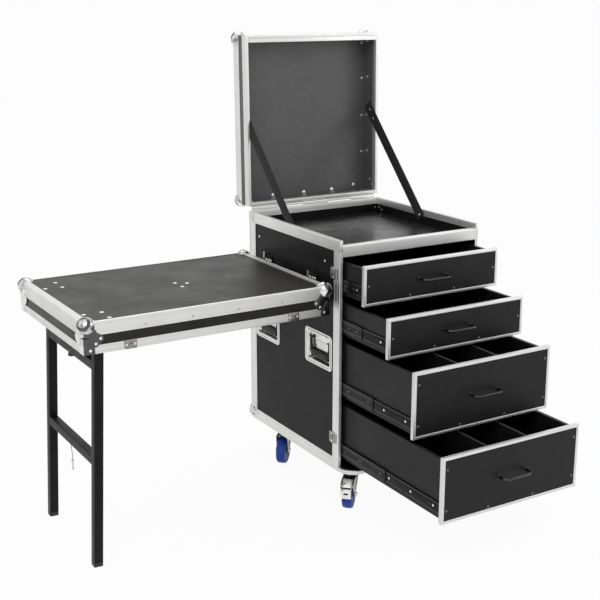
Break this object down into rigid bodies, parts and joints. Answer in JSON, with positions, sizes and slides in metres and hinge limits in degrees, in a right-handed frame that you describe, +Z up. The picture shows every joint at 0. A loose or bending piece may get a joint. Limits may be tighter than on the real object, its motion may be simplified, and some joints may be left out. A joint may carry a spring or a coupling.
{
  "type": "production case",
  "caption": "Wheeled flight case with sliding drawers, hinged lid, recessed work surface and a front cover hung beside it as a folding-leg table.",
  "frame": {"origin": "middle of the base board's underside, the face the casters are bolted to: halfway across the body and halfway along its depth, with the lip in front of the drawers not counted", "axes": "+Z up; -Y the way the drawers open; +X to the right of someone facing the drawers, so the table hangs on the -X side"},
  "size_m": [1.541, 1.3763, 1.6343],
  "materials": {
    "laminate": "satin black phenolic laminate on 9 mm plywood",
    "drawer_board": "black laminated board, matt",
    "aluminium": "brushed, ribbed extrusion",
    "zinc": "bright zinc plate",
    "black_steel": "satin black powder coat",
    "webbing": "black woven nylon",
    "blue_tyre": "blue elastic rubber",
    "lanyard": "plastic-coated wire"
  },
  "bodies": {
    "case_body": {"base_board": "laminate", "base_lip_trim": "aluminium", "left_side_panel": "laminate", "right_side_panel": "laminate", "back_panel": "laminate", "work_surface": "laminate", "front_crossbeam": "aluminium", "case_edge_frame": "aluminium", "left_front_handle_dish": "zinc", "left_rear_handle_dish": "zinc", "right_front_handle_dish": "zinc", "right_rear_handle_dish": "zinc", "table_hook_front": "zinc", "table_hook_rear": "zinc", "hinge_leaf_case": "zinc", "left_lid_stay": "webbing", "right_lid_stay": "webbing"},
    "lid": {"lid_shell": "laminate", "lid_edge_frame": "aluminium", "lid_hinge_leaf": "zinc"},
    "drawer_1": {"drawer_1_box": "drawer_board", "drawer_1_front_trim": "aluminium", "drawer_1_pull": "black_steel"},
    "drawer_1_left_mid_member": {"drawer_1_slide_left": "black_steel"},
    "drawer_1_right_mid_member": {"drawer_1_slide_right": "black_steel"},
    "drawer_2": {"drawer_2_box": "drawer_board", "drawer_2_front_trim": "aluminium", "drawer_2_pull": "black_steel"},
    "drawer_2_left_mid_member": {"drawer_2_slide_left": "black_steel"},
    "drawer_2_right_mid_member": {"drawer_2_slide_right": "black_steel"},
    "drawer_3": {"drawer_3_box": "drawer_board", "drawer_3_front_trim": "aluminium", "drawer_3_pull": "black_steel"},
    "drawer_3_left_mid_member": {"drawer_3_slide_left": "black_steel"},
    "drawer_3_right_mid_member": {"drawer_3_slide_right": "black_steel"},
    "drawer_4": {"drawer_4_box": "drawer_board", "drawer_4_front_trim": "aluminium", "drawer_4_pull": "black_steel"},
    "drawer_4_left_mid_member": {"drawer_4_slide_left": "black_steel"},
    "drawer_4_right_mid_member": {"drawer_4_slide_right": "black_steel"},
    "left_front_handle_bail": {"left_front_handle": "black_steel"},
    "left_rear_handle_bail": {"left_rear_handle": "black_steel"},
    "right_front_handle_bail": {"right_front_handle": "black_steel"},
    "right_rear_handle_bail": {"right_rear_handle": "black_steel"},
    "table": {"table_shell": "laminate", "table_edge_frame": "aluminium", "leg_mount_bar": "black_steel"},
    "folding_legs": {"leg_frame": "black_steel", "pin_lanyard": "lanyard", "leg_lock_pin": "zinc"},
    "front_left_caster": {"front_left_caster_fork": "zinc"},
    "front_left_wheel": {"front_left_caster_wheel": "blue_tyre"},
    "front_left_brake": {"front_left_caster_brake_pedal": "zinc"},
    "front_right_caster": {"front_right_caster_fork": "zinc"},
    "front_right_wheel": {"front_right_caster_wheel": "blue_tyre"},
    "front_right_brake": {"front_right_caster_brake_pedal": "zinc"},
    "rear_left_caster": {"rear_left_caster_fork": "zinc"},
    "rear_left_wheel": {"rear_left_caster_wheel": "blue_tyre"},
    "rear_right_caster": {"rear_right_caster_fork": "zinc"},
    "rear_right_wheel": {"rear_right_caster_wheel": "blue_tyre"}
  },
  "joints": [
    {"name": "lid_hinge", "type": "hinge", "parent": "case_body", "child": "lid", "pos_m": [0, 0.328, 0.846], "axis": [1, 0, 0], "range_deg": [0, 91.1], "deforming": ["left_lid_stay", "right_lid_stay"]},
    {"name": "drawer_1_slide", "type": "slide", "parent": "case_body", "child": "drawer_1", "axis": [0, -1, 0], "range_m": [-0.128, 0.446]},
    {"name": "drawer_1_left_mid_slide", "type": "slide", "parent": "case_body", "child": "drawer_1_left_mid_member", "axis": [0, -1, 0], "range_m": [-0.064, 0.223]},
    {"name": "drawer_1_right_mid_slide", "type": "slide", "parent": "case_body", "child": "drawer_1_right_mid_member", "axis": [0, -1, 0], "range_m": [-0.064, 0.223]},
    {"name": "drawer_2_slide", "type": "slide", "parent": "case_body", "child": "drawer_2", "axis": [0, -1, 0], "range_m": [-0.2705, 0.3035]},
    {"name": "drawer_2_left_mid_slide", "type": "slide", "parent": "case_body", "child": "drawer_2_left_mid_member", "axis": [0, -1, 0], "range_m": [-0.13525, 0.15175]},
    {"name": "drawer_2_right_mid_slide", "type": "slide", "parent": "case_body", "child": "drawer_2_right_mid_member", "axis": [0, -1, 0], "range_m": [-0.13525, 0.15175]},
    {"name": "drawer_3_slide", "type": "slide", "parent": "case_body", "child": "drawer_3", "axis": [0, -1, 0], "range_m": [-0.417, 0.157]},
    {"name": "drawer_3_left_mid_slide", "type": "slide", "parent": "case_body", "child": "drawer_3_left_mid_member", "axis": [0, -1, 0], "range_m": [-0.2085, 0.0785]},
    {"name": "drawer_3_right_mid_slide", "type": "slide", "parent": "case_body", "child": "drawer_3_right_mid_member", "axis": [0, -1, 0], "range_m": [-0.2085, 0.0785]},
    {"name": "drawer_4_slide", "type": "slide", "parent": "case_body", "child": "drawer_4", "axis": [0, -1, 0], "range_m": [-0.574, 0]},
    {"name": "drawer_4_left_mid_slide", "type": "slide", "parent": "case_body", "child": "drawer_4_left_mid_member", "axis": [0, -1, 0], "range_m": [-0.287, 0]},
    {"name": "drawer_4_right_mid_slide", "type": "slide", "parent": "case_body", "child": "drawer_4_right_mid_member", "axis": [0, -1, 0], "range_m": [-0.287, 0]},
    {"name": "left_front_handle_hinge", "type": "hinge", "parent": "case_body", "child": "left_front_handle_bail", "pos_m": [-0.29135, -0.185, 0.4515], "axis": [0, 1, 0], "range_deg": [0, 90], "stiffness_Nm_per_rad": 0.3},
    {"name": "left_rear_handle_hinge", "type": "hinge", "parent": "case_body", "child": "left_rear_handle_bail", "pos_m": [-0.29135, 0.181, 0.4515], "axis": [0, 1, 0], "range_deg": [0, 90], "stiffness_Nm_per_rad": 0.3},
    {"name": "right_front_handle_hinge", "type": "hinge", "parent": "case_body", "child": "right_front_handle_bail", "pos_m": [0.29135, -0.185, 0.4515], "axis": [0, -1, 0], "range_deg": [0, 90], "stiffness_Nm_per_rad": 0.3},
    {"name": "right_rear_handle_hinge", "type": "hinge", "parent": "case_body", "child": "right_rear_handle_bail", "pos_m": [0.29135, 0.181, 0.4515], "axis": [0, -1, 0], "range_deg": [0, 90], "stiffness_Nm_per_rad": 0.3},
    {"name": "table_lift", "type": "slide", "parent": "case_body", "child": "table", "axis": [0, 0, 1], "range_m": [0, 0.045]},
    {"name": "leg_frame_hinge", "type": "hinge", "parent": "table", "child": "folding_legs", "pos_m": [-1.164, -0.085, 0.6165], "axis": [0, -1, 0], "range_deg": [0, 92.9]},
    {"name": "front_left_caster_swivel", "type": "hinge", "parent": "case_body", "child": "front_left_caster", "pos_m": [-0.246, -0.326, 0], "axis": [0, 0, 1], "continuous": true},
    {"name": "front_left_wheel_spin", "type": "hinge", "parent": "front_left_caster", "child": "front_left_wheel", "pos_m": [-0.27404, -0.35453, -0.078], "axis": [0.7133, -0.7009, 0], "continuous": true},
    {"name": "front_left_brake_hinge", "type": "hinge", "parent": "front_left_caster", "child": "front_left_brake", "pos_m": [-0.30017, -0.38112, -0.03357], "axis": [0.7133, -0.7009, 0], "range_deg": [0, 6]},
    {"name": "front_right_caster_swivel", "type": "hinge", "parent": "case_body", "child": "front_right_caster", "pos_m": [0.246, -0.326, 0], "axis": [0, 0, 1], "continuous": true},
    {"name": "front_right_wheel_spin", "type": "hinge", "parent": "front_right_caster", "child": "front_right_wheel", "pos_m": [0.21796, -0.35453, -0.078], "axis": [0.7133, -0.7009, 0], "continuous": true},
    {"name": "front_right_brake_hinge", "type": "hinge", "parent": "front_right_caster", "child": "front_right_brake", "pos_m": [0.19183, -0.38112, -0.03357], "axis": [0.7133, -0.7009, 0], "range_deg": [0, 6]},
    {"name": "rear_left_caster_swivel", "type": "hinge", "parent": "case_body", "child": "rear_left_caster", "pos_m": [-0.246, 0.14, 0], "axis": [0, 0, 1], "continuous": true},
    {"name": "rear_left_wheel_spin", "type": "hinge", "parent": "rear_left_caster", "child": "rear_left_wheel", "pos_m": [-0.27404, 0.11147, -0.078], "axis": [0.7133, -0.7009, 0], "continuous": true},
    {"name": "rear_right_caster_swivel", "type": "hinge", "parent": "case_body", "child": "rear_right_caster", "pos_m": [0.246, 0.14, 0], "axis": [0, 0, 1], "continuous": true},
    {"name": "rear_right_wheel_spin", "type": "hinge", "parent": "rear_right_caster", "child": "rear_right_wheel", "pos_m": [0.21796, 0.11147, -0.078], "axis": [0.7133, -0.7009, 0], "continuous": true}
  ],
  "couplings": [
    {"joint": "drawer_1_left_mid_slide", "follows": "drawer_1_slide", "ratio": 0.5},
    {"joint": "drawer_1_right_mid_slide", "follows": "drawer_1_slide", "ratio": 0.5},
    {"joint": "drawer_2_left_mid_slide", "follows": "drawer_2_slide", "ratio": 0.5},
    {"joint": "drawer_2_right_mid_slide", "follows": "drawer_2_slide", "ratio": 0.5},
    {"joint": "drawer_3_left_mid_slide", "follows": "drawer_3_slide", "ratio": 0.5},
    {"joint": "drawer_3_right_mid_slide", "follows": "drawer_3_slide", "ratio": 0.5},
    {"joint": "drawer_4_left_mid_slide", "follows": "drawer_4_slide", "ratio": 0.5},
    {"joint": "drawer_4_right_mid_slide", "follows": "drawer_4_slide", "ratio": 0.5}
  ]
}
